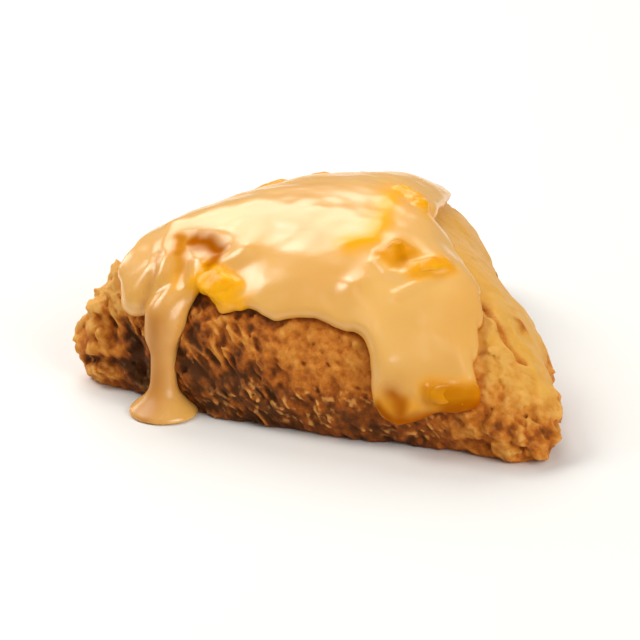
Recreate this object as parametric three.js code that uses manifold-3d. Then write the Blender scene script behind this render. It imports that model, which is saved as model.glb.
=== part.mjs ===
// A glazed wedge scone: a baked wedge of dough with a craggy crust, a poured glaze that runs down
// its sides in drips, and pieces of candied peel sunk in the glaze.
// Millimetres, +Z up, the round outer edge of the wedge towards -Y and its point towards +Y.
// The origin is under the middle of the whole, on the surface that the scone stands on.

import * as THREE from 'three';
import { mergeVertices } from 'three/addons/utils/BufferGeometryUtils.js';
import Module from 'manifold-3d';

const wasm = await Module();
wasm.setup();
const { degToRad, radToDeg, lerp, smoothstep, euclideanModulo } = THREE.MathUtils;

// Plan of the wedge, measured from its heart, the point that the grid below turns about
const WIDTH = 123; // of the round edge, between the corners before they are rounded
const POINT_ANGLE = degToRad(64); // between the two cut sides
const HEART_TO_POINT = 60;
const ROUND_RADIUS = 450; // of the outer edge, which is nearly straight
const CORNER_SHARPNESS = 6; // the higher, the tighter the three corners
// How unevenly the dough spread: waves round the wedge, phase, share of the radius
const SPREAD = [{ waves: 3, phase: 0.6, share: 0.016 }, { waves: 5, phase: 2.1, share: 0.0096 }];
// Corners that baked blunter or longer than the others: direction in degrees, share of the radius
const UNLIKE_CORNERS = [{ at: 212, longer: -0.07 }, { at: 331, longer: 0.035 }];
const CORNER_SPAN = 24; // degrees to each side over which a corner runs out

// Section of the baked dough, a dome that is highest over its crown and falls towards the corners
const HEIGHT = 33.5;
const CROWN = new THREE.Vector2(-10, -3);
const CORNER_DROP = 13.5; // how much lower the dome is at DROP_REACH from the crown
const DROP_REACH = 56;
const DROP_POWER = 2.2;
const BOXINESS = 0.6; // exponent of the section: 1 is a half ellipse, 0 a box
// A flank that sagged: direction, degrees to each side, how much is added to the exponent
const SAG = { at: 38, span: 45, more: 0.35 };
const TUCK = 0.055; // how far the wall draws in at the base, as a share of the radius
const TUCK_HEIGHT = 9;

// Crags of the bare crust
const LUMP = { width: 12, depth: 1.7 };
const CRAG = { width: 5.5, length: 12, depth: 2 }; // clefts that slant down the wall
const CRAG_FADE = 5; // the crust grows smooth over this distance towards the glaze

// Glaze
const GLAZE = 2.4; // thickness of the sheet
const GLAZE_EDGE = 3.4; // its edge is rounded over this distance
const DRIP_SWELL = 1.1; // a drip is this much thicker at its end
const FILLET = 3; // how softly a drip parts from the edge of the sheet
const GAP = 0.4; // between the glaze and what it lies on
const SUNK = 3.5; // how far the glaze surface dips into the dough where there is no glaze
const LEAST_STEEPNESS = 0.3; // sine of the slope that turns heights into distances on the flat top

// Height of the edge of the glaze round the wedge: direction in degrees, height above the base
const GLAZE_LINE = [
  [0, 28.8], [30, 28.6], [54, 28], [72, 26.5], [84, 23.5], [95, 19], [122, 21], [150, 22], [172, 24.5],
  [188, 26.5], [205, 25.5], [216, 24], [221, 23], [230, 24], [236, 26], [241, 25], [244.5, 21.8],
  [248, 20.2], [253, 21.2], [256, 22], [265, 20.7], [278, 22], [290, 20.5], [306, 14], [316, 13],
  [320, 17], [325, 21], [331, 24], [339, 27], [348, 28.5],
];

// Drips: direction in degrees, height of the lowest point, radius
const DRIPS = [
  { at: 100, foot: 6, radius: 4.6 },
  { at: 121, foot: 10, radius: 4.4 },
  { at: 138, foot: 4.5, radius: 5 },
  { at: 155, foot: 12, radius: 6 },
  { at: 226, foot: 16.4, radius: 4.3 },
  { at: 233.6, foot: 12, radius: 3.6 },
  { at: 303, foot: 6.2, radius: 5.6 },
  { at: 308, foot: 8.1, radius: 4.6 },
  { at: 312.5, foot: 9.1, radius: 4.6 },
  { at: 316.2, foot: 10, radius: 3.4 },
];

// The longest drip ends in a foot that has run out on the surface: radius, height
const FOOT_CENTRE = new THREE.Vector2(-24.6, -39);
const FOOT_LEAN = new THREE.Vector2(-0.06, 0.19); // sideways for each millimetre of height
const FOOT_OUTLINE = [
  [0, 0], [6.6, 0], [7, 0.9], [6.2, 2], [4.2, 3.4], [3.1, 5.6], [2.6, 9], [2.9, 13], [3.7, 17.5],
  [3.4, 20.5], [0, 23],
];
const FOOT_SIDES = 20;

// Candied peel: place from the heart, turn about the normal in degrees, length, width, bend radius.
// A curled piece stands on its edge and is bent in plan, the others lie with the rind upwards.
const PEEL = [
  { x: 4.7, y: 2.5, turn: -40, length: 9.5, width: 3, bend: 8, bed: 0.7, curled: true },
  { x: 14.6, y: -18, turn: 70, length: 5.5, width: 4.6, bend: 18 },
  { x: 21.4, y: -18, turn: 50, length: 7.5, width: 3.4, bend: 18 },
  { x: 34, y: -35, turn: 12, length: 9.4, width: 3.4, bend: 30, bed: 1.3 },
  { x: -15.6, y: -31.4, turn: 155, length: 8, width: 5.4, bend: 18, bed: 0.9 },
  { x: -18, y: 18, turn: 140, length: 9, width: 4, bend: 20 },
  { x: -10, y: 27, turn: 75, length: 8, width: 4.4, bend: 20 },
  { x: -24, y: 7, turn: 20, length: 10, width: 4, bend: 24 },
];
const PEEL_THICKNESS = 2.8;
const PEEL_BED = 0.6; // between the peel and the dough
const PEEL_ROUNDING = 0.5;
const PEEL_GAP = 0.35;
const HALVINGS = 40;
const PEEL_PIT = 2; // the pit in the glaze is this much deeper than the peel

// Grid that the dough and the glaze share
const COLUMNS = 104;
const ROWS = 18;
const ROW_SPREAD = 1 / BOXINESS; // spaces the rows evenly from the base over the dome
const TOP_ROW = 0.92; // where a last row would lie, short of the summit
const RIM_RISE = 0.1; // the girth is measured along this level
const RIM_STEPS = 720;

// Colours and finishes
const CRUST_LOOK = { color: 0xc98a45, roughness: 0.85, metalness: 0 };
const GLAZE_LOOK = { color: 0xe9b978, roughness: 0.25, metalness: 0 };
const PEEL_LOOK = { color: 0xf0a01e, roughness: 0.3, metalness: 0 };

const halfPoint = POINT_ANGLE / 2;
const heartToSide = HEART_TO_POINT * Math.sin(halfPoint);
const heartToEdge = WIDTH / 2 / Math.tan(halfPoint) - HEART_TO_POINT;

// Noise from -1 to 1, smooth and the same on every run
function corner(i, j, k) {
  const s = Math.sin(i * 127.1 + j * 311.7 + k * 74.7) * 43758.5453;
  return (s - Math.floor(s)) * 2 - 1;
}

function noise(x, y, z) {
  const [i, j, k] = [x, y, z].map(Math.floor);
  const [u, v, w] = [x - i, y - j, z - k].map((c) => smoothstep(c, 0, 1));
  const edge = (b, c) => lerp(corner(i, j + b, k + c), corner(i + 1, j + b, k + c), u);
  const face = (c) => lerp(edge(0, c), edge(1, c), v);
  return lerp(face(0), face(1), w);
}

function degreesFrom(angle, at) {
  return euclideanModulo(radToDeg(angle) - at + 180, 360) - 180;
}

// Distance from the heart to the rim of the wedge in one direction
function planRadius(angle) {
  const right = Math.max(0, Math.cos(angle - halfPoint)) / heartToSide;
  const left = Math.max(0, -Math.cos(angle + halfPoint)) / heartToSide;
  const inset = ROUND_RADIUS - heartToEdge;
  const ahead = inset * Math.sin(angle);
  const round = 1 / (ahead + Math.sqrt(ahead ** 2 - inset ** 2 + ROUND_RADIUS ** 2));
  const sum = right ** CORNER_SHARPNESS + left ** CORNER_SHARPNESS + round ** CORNER_SHARPNESS;
  let uneven = 1;
  for (const { waves, phase, share } of SPREAD) {
    uneven += share * Math.sin(waves * angle + phase);
  }
  let radius = uneven * sum ** (-1 / CORNER_SHARPNESS);
  for (const { at, longer } of UNLIKE_CORNERS) {
    radius *= 1 + longer * Math.exp(-((degreesFrom(angle, at) / CORNER_SPAN) ** 2));
  }
  return radius;
}

function domeHeight(x, y) {
  const off = Math.hypot(x - CROWN.x, y - CROWN.y) / DROP_REACH;
  return HEIGHT - CORNER_DROP * off ** DROP_POWER;
}

function boxiness(angle) {
  return BOXINESS + SAG.more * Math.exp(-((degreesFrom(angle, SAG.at) / SAG.span) ** 2));
}

// A point of the smooth dough: rise is 0 at the base rim and 1 over the heart
function smoothPoint(angle, rise) {
  const turn = (rise * Math.PI) / 2;
  const exponent = boxiness(angle);
  const reach = planRadius(angle) * Math.cos(turn) ** exponent;
  const [x, y] = [reach * Math.cos(angle), reach * Math.sin(angle)];
  const z = domeHeight(x, y) * Math.sin(turn) ** exponent;
  const tuck = 1 - TUCK * Math.max(0, 1 - z / TUCK_HEIGHT) ** 2;
  return new THREE.Vector3(x * tuck, y * tuck, z);
}

function smoothNormal(angle, rise) {
  const step = 1e-3;
  const round = smoothPoint(angle + step, rise).sub(smoothPoint(angle - step, rise));
  const top = smoothPoint(angle, Math.min(1, rise + step));
  const up = top.sub(smoothPoint(angle, Math.max(0, rise - step)));
  return round.cross(up).normalize();
}

// Length along the rim from direction 0, for the width of a drip
const rimLengths = [0];
for (let i = 1; i <= RIM_STEPS; i++) {
  const [before, after] = [i - 1, i].map((k) => smoothPoint((k / RIM_STEPS) * 2 * Math.PI, RIM_RISE));
  rimLengths.push(rimLengths[i - 1] + before.distanceTo(after));
}
const girth = rimLengths[RIM_STEPS];

function rimLength(angle) {
  const place = euclideanModulo(angle / (2 * Math.PI), 1) * RIM_STEPS;
  const i = Math.floor(place);
  return lerp(rimLengths[i], rimLengths[Math.min(i + 1, RIM_STEPS)], place - i);
}

function rimAngle(length) {
  const i = rimLengths.findIndex((l) => l > length);
  const share = (length - rimLengths[i - 1]) / (rimLengths[i] - rimLengths[i - 1]);
  return ((i - 1 + share) / RIM_STEPS) * 2 * Math.PI;
}

function acrossRim(angle, other) {
  const apart = Math.abs(rimLength(angle) - rimLength(other));
  return Math.min(apart, girth - apart);
}

function glazeLine(angle) {
  const degrees = euclideanModulo(radToDeg(angle), 360);
  const next = GLAZE_LINE.findIndex(([at]) => at > degrees);
  const [from, low] = GLAZE_LINE.at(next - 1);
  const [to, high] = next < 0 ? [360, GLAZE_LINE[0][1]] : GLAZE_LINE[next];
  return lerp(low, high, smoothstep(degrees, from, to));
}

function smoothMax(a, b, width) {
  const h = Math.max(0, width - Math.abs(a - b)) / width;
  return Math.max(a, b) + (h * h * width) / 4;
}

// How far a point of the dough lies inside the edge of the glaze, along the surface
function glazeInside(angle, point, normal) {
  const steepness = Math.max(LEAST_STEEPNESS, Math.hypot(normal.x, normal.y));
  let inside = (point.z - glazeLine(angle)) / steepness;
  for (const { at, foot, radius } of DRIPS) {
    const across = acrossRim(angle, degToRad(at));
    const below = Math.max(0, foot + radius - point.z);
    inside = smoothMax(inside, radius - Math.hypot(across, below), FILLET);
  }
  return inside;
}

function dripSwell(angle, point) {
  const swells = DRIPS.map(({ at, foot, radius }) => {
    const across = acrossRim(angle, degToRad(at)) / radius;
    const along = (point.z - foot - radius) / (2 * radius);
    return Math.exp(-(across ** 2) - along ** 2);
  });
  return DRIP_SWELL * Math.max(...swells);
}

function crags(point) {
  const { x, y, z } = point;
  const lumps = LUMP.depth * noise(x / LUMP.width, y / LUMP.width, z / LUMP.width);
  const [slant, across] = [x - z, x + z];
  const cleft = 1 - Math.abs(noise(across / CRAG.width, y / CRAG.width, slant / CRAG.length));
  return lumps + CRAG.depth * (cleft ** 2 - 0.5);
}

// Every point of the shared grid: its place on the dough, its normal and the glaze over it
function gridPoint(angle, rise) {
  const point = smoothPoint(angle, rise);
  const normal = smoothNormal(angle, rise);
  const inside = glazeInside(angle, point, normal);
  const bareness = smoothstep(-inside, 0, CRAG_FADE);
  point.addScaledVector(normal, bareness * crags(point));
  const share = Math.min(1, inside / GLAZE_EDGE);
  const rounded = share > 0 ? 1 - (1 - share) ** 2 : 2 * share;
  const full = GLAZE + dripSwell(angle, point) - GAP;
  return { point, normal, glaze: Math.max(-SUNK, GAP + full * rounded) };
}

function rowRise(row) {
  const along = (row / ROWS) * TOP_ROW;
  const [below, above] = [along ** ROW_SPREAD, (1 - along) ** ROW_SPREAD];
  return below / (below + above);
}

const grid = [];
for (let row = 0; row < ROWS; row++) {
  for (let column = 0; column < COLUMNS; column++) {
    grid.push(gridPoint(rimAngle(((column + 0.5) / COLUMNS) * girth), rowRise(row)));
  }
}
const summit = { point: smoothPoint(0, 1), normal: new THREE.Vector3(0, 0, 1), glaze: GLAZE };

// A closed surface at some offset from the dough, flat at the bottom
function closedSurface(offsetOf, bottom) {
  const points = [...grid, summit].map((g) => g.point.clone().addScaledVector(g.normal, offsetOf(g)));
  points.slice(0, COLUMNS).forEach((p) => p.setZ(bottom));
  points.push(new THREE.Vector3(0, 0, bottom));
  const [top, base] = [points.length - 2, points.length - 1];
  const triangles = [];
  for (let column = 0; column < COLUMNS; column++) {
    const next = (column + 1) % COLUMNS;
    for (let row = 0; row < ROWS - 1; row++) {
      const [a, b] = [row * COLUMNS + column, row * COLUMNS + next];
      const [c, d] = [b + COLUMNS, a + COLUMNS];
      triangles.push(a, b, c, a, c, d);
    }
    triangles.push((ROWS - 1) * COLUMNS + column, (ROWS - 1) * COLUMNS + next, top);
    triangles.push(next, column, base);
  }
  return new THREE.BufferGeometry().setFromPoints(points).setIndex(triangles);
}

// Solids for joining and cutting, and back
function solidOf(geometry) {
  const bare = new THREE.BufferGeometry();
  bare.setAttribute('position', geometry.getAttribute('position')).setIndex(geometry.index);
  const merged = mergeVertices(bare, 1e-4);
  const vertProperties = new Float32Array(merged.getAttribute('position').array);
  const triVerts = new Uint32Array(merged.index.array);
  return new wasm.Manifold(new wasm.Mesh({ numProp: 3, vertProperties, triVerts }));
}

function geometryOf(solid) {
  const { vertProperties, triVerts } = solid.getMesh();
  const geometry = new THREE.BufferGeometry();
  geometry.setAttribute('position', new THREE.BufferAttribute(vertProperties, 3));
  geometry.setIndex(new THREE.BufferAttribute(triVerts, 1));
  return geometry;
}

// A bent strip of peel with its middle over the origin, larger all round by a margin and deeper by a pit
function peelGeometry({ length, width, bend, curled }, margin = 0, pit = 0) {
  const [outer, inner] = [bend + PEEL_THICKNESS + margin, bend - margin - (curled ? 0 : pit)];
  const reach = (length / 2 + margin) / bend;
  const [start, end] = [Math.PI / 2 + reach, Math.PI / 2 - reach];
  const section = new THREE.Shape();
  section.absarc(0, 0, outer, start, end, true);
  section.absarc(0, 0, inner, end, start, false);
  const depth = width + 2 * margin - 2 * PEEL_ROUNDING + (curled ? pit : 0);
  const geometry = new THREE.ExtrudeGeometry(section, {
    depth,
    curveSegments: curled ? 8 : 4,
    bevelSize: PEEL_ROUNDING,
    bevelThickness: PEEL_ROUNDING,
    bevelOffset: -PEEL_ROUNDING,
    bevelSegments: 1,
  });
  if (curled) return geometry.translate(0, -bend / 2, PEEL_ROUNDING - margin - pit);
  return geometry.translate(0, -bend, -depth / 2).rotateX(Math.PI / 2);
}

// Where a piece of peel lies: a bed's depth above the dough and square to it, found by halving
function peelMatrix({ x, y, turn, bed = PEEL_BED }) {
  const angle = Math.atan2(y, x);
  let [low, high] = [0, 1];
  for (let i = 0; i < HALVINGS; i++) {
    const middle = (low + high) / 2;
    const reached = Math.hypot(smoothPoint(angle, middle).x, smoothPoint(angle, middle).y);
    [low, high] = reached > Math.hypot(x, y) ? [middle, high] : [low, middle];
  }
  const normal = smoothNormal(angle, low);
  const place = smoothPoint(angle, low).addScaledVector(normal, bed);
  const upright = new THREE.Quaternion().setFromUnitVectors(new THREE.Vector3(0, 0, 1), normal);
  const spin = new THREE.Quaternion().setFromAxisAngle(new THREE.Vector3(0, 0, 1), degToRad(turn));
  return new THREE.Matrix4().compose(place, upright.multiply(spin), new THREE.Vector3(1, 1, 1));
}

function footSolid() {
  const outline = FOOT_OUTLINE.map(([radius, height]) => new THREE.Vector2(radius, height));
  const foot = new THREE.LatheGeometry(outline, FOOT_SIDES).rotateX(Math.PI / 2);
  foot.applyMatrix4(new THREE.Matrix4().makeShear(0, 0, 0, 0, FOOT_LEAN.x, FOOT_LEAN.y));
  return solidOf(foot.translate(FOOT_CENTRE.x, FOOT_CENTRE.y, 0));
}

// The poured sheet and its drips, cut clear of the dough and of each piece of peel
function glazeGeometry() {
  const poured = solidOf(closedSurface((g) => g.glaze, GAP * 2)).add(footSolid());
  let glaze = poured.subtract(solidOf(closedSurface(() => GAP, -GAP)));
  for (const piece of PEEL) {
    const pit = peelGeometry(piece, PEEL_GAP, PEEL_PIT).applyMatrix4(peelMatrix(piece));
    glaze = glaze.subtract(solidOf(pit));
  }
  const bodies = glaze.decompose().sort((a, b) => b.volume() - a.volume());
  return geometryOf(bodies[0]);
}

function mesh(name, geometry, look) {
  const made = new THREE.Mesh(geometry, new THREE.MeshStandardMaterial(look));
  made.name = name;
  return made;
}

const scone = new THREE.Group();
scone.add(mesh('dough', closedSurface(() => 0, 0), CRUST_LOOK));
scone.add(mesh('glaze', glazeGeometry(), GLAZE_LOOK));
PEEL.forEach((piece, i) => {
  const peel = mesh(`peel_${i + 1}`, peelGeometry(piece), PEEL_LOOK);
  peel.applyMatrix4(peelMatrix(piece));
  scone.add(peel);
});

// The whole is centred over the origin
const extent = new THREE.Box3().setFromObject(scone);
const middle = extent.getCenter(new THREE.Vector3());
scone.position.set(-middle.x, -middle.y, 0);

export default scone;
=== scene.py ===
"""A glazed wedge scone with candied peel, on a pale floor in soft light.

Lengths are millimetres from the heart of the wedge, and directions are degrees, as in the solids.
A pair of values for a gradual change runs from where it sets in to where it is full.
"""

import math
from collections import namedtuple

import bpy
import numpy as np
from mathutils import Matrix, Vector


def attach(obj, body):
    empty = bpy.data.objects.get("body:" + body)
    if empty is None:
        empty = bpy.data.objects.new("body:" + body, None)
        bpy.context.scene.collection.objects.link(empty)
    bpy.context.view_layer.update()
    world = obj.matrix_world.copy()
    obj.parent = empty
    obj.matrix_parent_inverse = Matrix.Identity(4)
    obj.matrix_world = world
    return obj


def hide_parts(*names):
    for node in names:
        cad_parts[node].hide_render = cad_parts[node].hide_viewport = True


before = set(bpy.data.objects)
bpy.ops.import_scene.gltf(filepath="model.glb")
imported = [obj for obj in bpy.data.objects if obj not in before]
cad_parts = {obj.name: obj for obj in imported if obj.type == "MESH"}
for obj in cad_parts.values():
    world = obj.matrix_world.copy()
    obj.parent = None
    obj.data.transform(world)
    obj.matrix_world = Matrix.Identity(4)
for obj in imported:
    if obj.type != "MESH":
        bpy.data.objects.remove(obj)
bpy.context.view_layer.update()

MM = 0.001

# Plan and section of the dough
WIDTH = 123.0
POINT_ANGLE = math.radians(64)
HEART_TO_POINT = 60.0
ROUND_RADIUS = 450.0
CORNER_SHARPNESS = 6
SPREAD = ((3, 0.6, 0.016), (5, 2.1, 0.0096))  # waves round the rim, phase, share of the radius
UNLIKE_CORNERS = ((212, -0.07), (331, 0.035))  # direction, share of the radius
CORNER_SPAN = 24.0
HEIGHT = 33.5
CROWN = (-10.0, -3.0)
CORNER_DROP = 13.5
DROP_REACH = 56.0
DROP_POWER = 2.2
BOXINESS = 0.6  # exponent of the section: 1 is a half ellipse, 0 a box
SAG_AT, SAG_SPAN, SAG_MORE = 38, 45.0, 0.35  # a sagged flank: direction, span to each side, added exponent
TUCK = 0.055
TUCK_HEIGHT = 9.0

HALF_POINT = POINT_ANGLE / 2
HEART_TO_SIDE = HEART_TO_POINT * math.sin(HALF_POINT)
HEART_TO_EDGE = WIDTH / 2 / math.tan(HALF_POINT) - HEART_TO_POINT
ROUND_INSET = ROUND_RADIUS - HEART_TO_EDGE
LOWEST_DOME = 3.0
RIM_RISE = 0.1  # the girth is measured along this level
RIM_STEPS = 3600
BASE_ROUNDING = 0.6

# Crags that the solid has too, with their crests rounded off
LUMP_WIDTH, LUMP_DEPTH = 12.0, 1.7
CRAG_WIDTH, CRAG_LENGTH, CRAG_DEPTH = 5.5, 12.0, 1.6
CRAG_LEVEL = 0.35  # share of a crag's depth that lies below the smooth dough
CRAG_FADE = 5.0
CREST_ROUNDING = 0.25

# Finer relief of the crust
FLAKE_WIDTH, FLAKE_LENGTH, FLAKE_DEPTH = 2.2, 8.0, 0.8
FLAKE_CREST = (0.34, 0.0)
FLAKE_PATCH_WIDTH, FLAKE_PATCH_LENGTH, FLAKE_PATCH = 5.0, 9.0, (-0.25, 0.3)
FLAKES_BETWEEN, FLAKES_ELSEWHERE = 0.35, 0.1  # share between the patches, and off the left of the wall
FLAKES_FROM_RIGHT, FLAKES_FROM_LEFT = (4.0, -8.0), (-42.0, -32.0)  # along x
CRUMB_WIDTH, CRUMB_LENGTH, CRUMB_DEPTH = 1.1, 2.4, 0.45
CRUMB_RIM = (0.12, 0.5)
CRUMB_PATCH_WIDTH, CRUMB_PATCH = 7.0, (-0.5, 0.05)
CRUMBS_FROM_BASE, CRUMBS_FROM_TOP = (1.0, 3.0), (13.0, 8.0)  # up z
CRUMBS_LOWER, CRUMBS_LOWER_AT = 5.0, (-2.0, -16.0)  # they lie this much lower on the left, along x
KNOB_WIDTH, KNOB_DEPTH = 4.0, 1.3
SMALL_KNOB_WIDTH, SMALL_KNOB_SHARE = 1.8, 0.35
KNOB_ENDS = ((26.0, 38.0), (-30.0, -38.0))  # along x
KNOBS_FROM_BASE = (0.0, 5.0)  # up z
BUMP_WIDTH, BUMP_DEPTH = 2.3, 0.6
GRAIN_WIDTH, GRAIN_LENGTH, GRAIN_DEPTH = 1.3, 2.2, 0.36
PIT_WIDTH, PIT_LENGTH, PIT_DEPTH = 1.4, 2.8, 0.45
PIT_RIM = (0.42, 0.66)
FINE_RELIEF = (-0.6, 1.2)  # distance outside the edge of the glaze
FILM_FILLS_FINE, FILM_FILLS_BROAD = 0.7, 0.5  # how much of the relief the film of glaze takes away
CRACK_SWAY = 0.6
CRACKS = (  # the line of each crack, its width and its depth
    (((32.2, -17.3, 23.5), (35.2, -19.9, 21.5), (38.1, -22.0, 19.4), (40.7, -23.5, 17.4),
      (43.3, -23.5, 15.5)), 0.75, 1.4),
    (((43.5, -25.9, 14.8), (45.7, -25.4, 13.2)), 0.6, 0.8),
    (((48.2, -34.1, 3.4), (49.3, -33.6, 4.9), (50.4, -32.4, 5.9), (51.3, -30.5, 6.3)), 0.9, 0.8),
    (((43.0, -35.1, 7.8), (45.0, -34.9, 6.8)), 1.3, 0.6),
    (((-46.0, -30.5, 5.4), (-41.4, -33.2, 5.6), (-38.4, -33.9, 5.9), (-34.4, -34.7, 6.2)), 1.0, 1.5),
    (((-41.5, -29.8, 17.4), (-39.8, -32.5, 13.6), (-39.1, -33.7, 9.7)), 0.9, 1.3),
    (((-42.4, -31.4, 14.1), (-42.9, -32.6, 9.9)), 0.7, 0.9),
    (((-36.2, -33.1, 14.4), (-34.0, -34.3, 12.0), (-31.8, -35.3, 7.9), (-31.7, -34.9, 4.4)), 1.6, 2.2),
)

# Places painted darker: a burnt spot high on the nose, a burnt zone right of the drip's column with painted
# shade in it, painted shade in the cleft between the left end and the column, and a dark spot low on the
# nose. The line of each, its width and how much darker it is
BURNT_AND_SHADED = (
    (((38.0, -12.8, 18.8), (38.4, -13.4, 17.6)), 1.7, 0.6),
    (((-19.8, -33.0, 21.2), (-18.3, -35.5, 17.2), (-20.0, -36.4, 13.7), (-18.0, -37.0, 10.0)), 2.6, 0.25),
    (((-36.2, -33.1, 14.4), (-34.0, -34.3, 12.0), (-31.8, -35.3, 7.9), (-31.7, -34.9, 4.4)), 2.2, 0.2),
    (((43.0, -35.1, 7.8), (45.0, -34.9, 6.8)), 1.8, 0.25),
)

# What each thing adds to how dark the crust is painted, which is about 0 where pale and 1 where dark. Beside
# browning this holds painted light and shade: bumps and grain paler on top and darker in their dips,
# hollows, cracks and the line under the glaze's lip darker, flake crests paler partly as painted highlight,
# and painted shade among the burns
CRUST_DARKENING = {
    "all over": -0.11, "low wall": 0.42, "left wall": 0.28, "nose": -0.36, "left end": -0.4, "patches": 0.14,
    "bumps": -0.3, "grain": -0.25, "hollows": 0.15, "pits": 0.2, "burns and shade": 1.0, "cracks": 0.5,
    "lip shadow and seep": 0.3, "flakes": -0.3, "crumbs": -0.4,
}
LOW_WALL = (18.0, 4.0)  # up z
LEFT_WALL_FROM_RIGHT, LEFT_WALL_FROM_LEFT = (4.0, -6.0), (-38.0, -28.0)  # along x
NOSE, LEFT_END = (24.0, 38.0), (-30.0, -40.0)  # along x
BROWN_PATCH_WIDTH = 8.0
# Depth over which hollows of the crust get painted shade and raised parts painted light
HOLLOW_SHADE_DEPTH = 2.0
# Span of a dark line under the glaze's lip: painted shadow, partly glaze seeping into the crust
GLAZE_SEAM = (-1.1, 0.2)  # distance inside the edge of the glaze
# These scale the painted light and shade on the crust's bumps and grain
LEAST_RELIEF_SHADING, NOSE_RELIEF_SHADING = 0.5, 0.6  # share of it on the smooth wall, and of the rest on the nose
# Painted shade in the cracks is fainter at the ends
FAINTER_END_CRACK_SHADE = 0.4
FEWER_NOSE_CRUMBS = 0.7
# Flake crests are painted pale, partly as painted highlight
PALE_CRUMBS, PALE_FLAKES_AND_HIGHLIGHT, PALE_FLAKE_POWER = 0.5, 0.15, 3
FILM_STRENGTH, BURNS_AND_SHADE_THROUGH_FILM = 0.9, 2

# Glaze
GLAZE = 2.4
DRIP_SWELL = 1.1
SWELL_FADE = (16.0, 34.0)  # distance from the heart
FILLET = 3.0
EMBED = 0.8
LEAST_STEEPNESS = 0.3
THINNEST_GLAZE = 0.5
EDGE_WAVES = ((6.0, 0.5, 1), (2.4, 0.2, 2))  # width, height, seed
SHEET_WAVES = ((11.0, 0.5, 3), (4.0, 0.15, 4))
FEATHER_AT, FEATHER_SPAN, FEATHER_LEVELS = 5, (40.0, 20.0), (31.5, 28.5)  # an edge that thins out
FEATHER = 0.75  # share of the thickness that it loses
FILM = 0.4  # thickness of the film beside the sheet
FILM_AT, FILM_SPAN, FILM_SPAN_WAVES = 26, (66.0, 52.0), ((6.0, 8.0, 8),)
FILM_LEVELS, FILM_LEVEL_WAVES = (8.0, 15.0), ((5.0, 3.0, 9),)
FLOOR_GAP = 0.05
GLAZE_LINE = (  # direction, height
    (0, 28.8), (30, 28.6), (54, 28), (72, 26.5), (84, 23.5), (95, 19), (122, 21), (150, 22), (172, 24.5),
    (188, 26.5), (205, 25.5), (211, 24.5), (217, 20.8), (222, 18.8), (230, 22.5), (236, 26), (241, 25),
    (244.5, 21.8), (248, 20.2), (253, 21.2), (256, 22), (265, 20.7), (278, 22), (290, 20.5), (306, 14),
    (316, 13), (320, 17), (325, 21), (331, 24), (339, 27), (348, 28.5), (360, 28.8),
)
DRIPS = (  # direction, height of the lowest point, radius
    (100, 6, 4.6), (121, 10, 4.4), (138, 4.5, 5), (155, 12, 6), (225.2, 16.4, 5.0), (233.6, 12, 3.6),
    (303, 6.2, 5.6), (308, 8.1, 4.6), (312.5, 9.1, 4.6), (316.2, 10, 3.4),
)
FOOT_CENTRE = (-24.6, -39.0)
FOOT_LEAN = (-0.06, 0.19)
FOOT_RADIUS, FOOT_HEIGHT = 7.0, 2.9
FOOT_DRAWN_IN, FOOT_RIM_HEIGHT = 0.6, 0.5
FOOT_SLOPE = 0.85  # turns distances across the flare into distances from it
WAIST_RADIUS = 2.6
BULGE_RADIUS, BULGE_HEIGHT, BULGE_REACH = 3.8, 18.5, 4.0
FOOT_BLEND = 1.8

# Lines in the glaze: a strip of peel under it, a hollow and the side of the round drip
CURL = (
    (5.8, -19.4, 30.7), (8.9, -16.5, 30.9), (8.1, -9.9, 32.1),
    (6.2, -3.0, 32.6), (4.4, 3.4, 32.3), (3.4, 8.5, 32.0),
)
PATCH = ((-24.5, -23.4, 28.4), (-21.6, -24.2, 28.5), (-18.6, -25.2, 28.4))
PATCH_TAIL = ((-18.6, -25.2, 28.4), (-17.7, -27.2, 27.2), (-17.9, -28.6, 26.1))
GROOVE = ((-27.1, -22.9, 28.2), (-25.5, -26.1, 26.6), (-24.1, -29.0, 24.6), (-23.7, -30.9, 22.9))
BULB_SIDE = ((-29.4, -27.0, 25.0), (-28.8, -29.3, 23.1), (-29.0, -32.3, 19.5), (-29.4, -33.6, 16.9))

# Ridges and hollows of the glaze: the line that one follows, its width and how much it rises
GLAZE_STROKES = (
    (CURL, 1.5, 0.3),
    (((-31.0, -19.0, 28.6), (-29.0, -27.2, 25.0), (-25.5, -32.6, 20.2)), 2.4, 0.6),
    (((-34.5, -27.5, 23.5), (-32.5, -31.0, 19.5)), 4.0, 0.7),
    (((-12.7, -25.4, 28.8), (-15.6, -27.8, 27.0), (-16.7, -30.4, 24.7)), 2.4, 0.7),
    (((-20.8, -27.9, 26.2), (-19.7, -30.7, 24.0)), 2.0, 0.7),
    (GROOVE, 1.7, -0.4),
    (PATCH, 2.2, -0.9),
    (BULB_SIDE, 1.2, -0.6),
    (((25.0, -30.0, 21.0), (27.5, -33.5, 15.5), (28.5, -35.0, 12.5)), 5.0, -0.8),
    (((10.8, -28.2, 25.8), (13.5, -30.2, 23.6), (17.4, -33.0, 19.6), (19.5, -35.0, 16.0)), 3.0, 1.0),
    (((33.6, -30.5, 17.3), (35.5, -32.5, 14.5)), 2.2, 0.4),
    (((12.5, -21.5, 28.8), (15.3, -23.1, 27.6), (17.9, -22.6, 27.2), (19.6, -20.2, 27.7)), 1.1, 0.5),
    (((18.5, -26.8, 24.9), (20.2, -24.3, 25.8), (22.5, -20.9, 26.7)), 1.2, 0.4),
    (((8.0, 3.0, 32.2), (8.0, 6.0, 32.0)), 7.0, 0.6),
)

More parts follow.
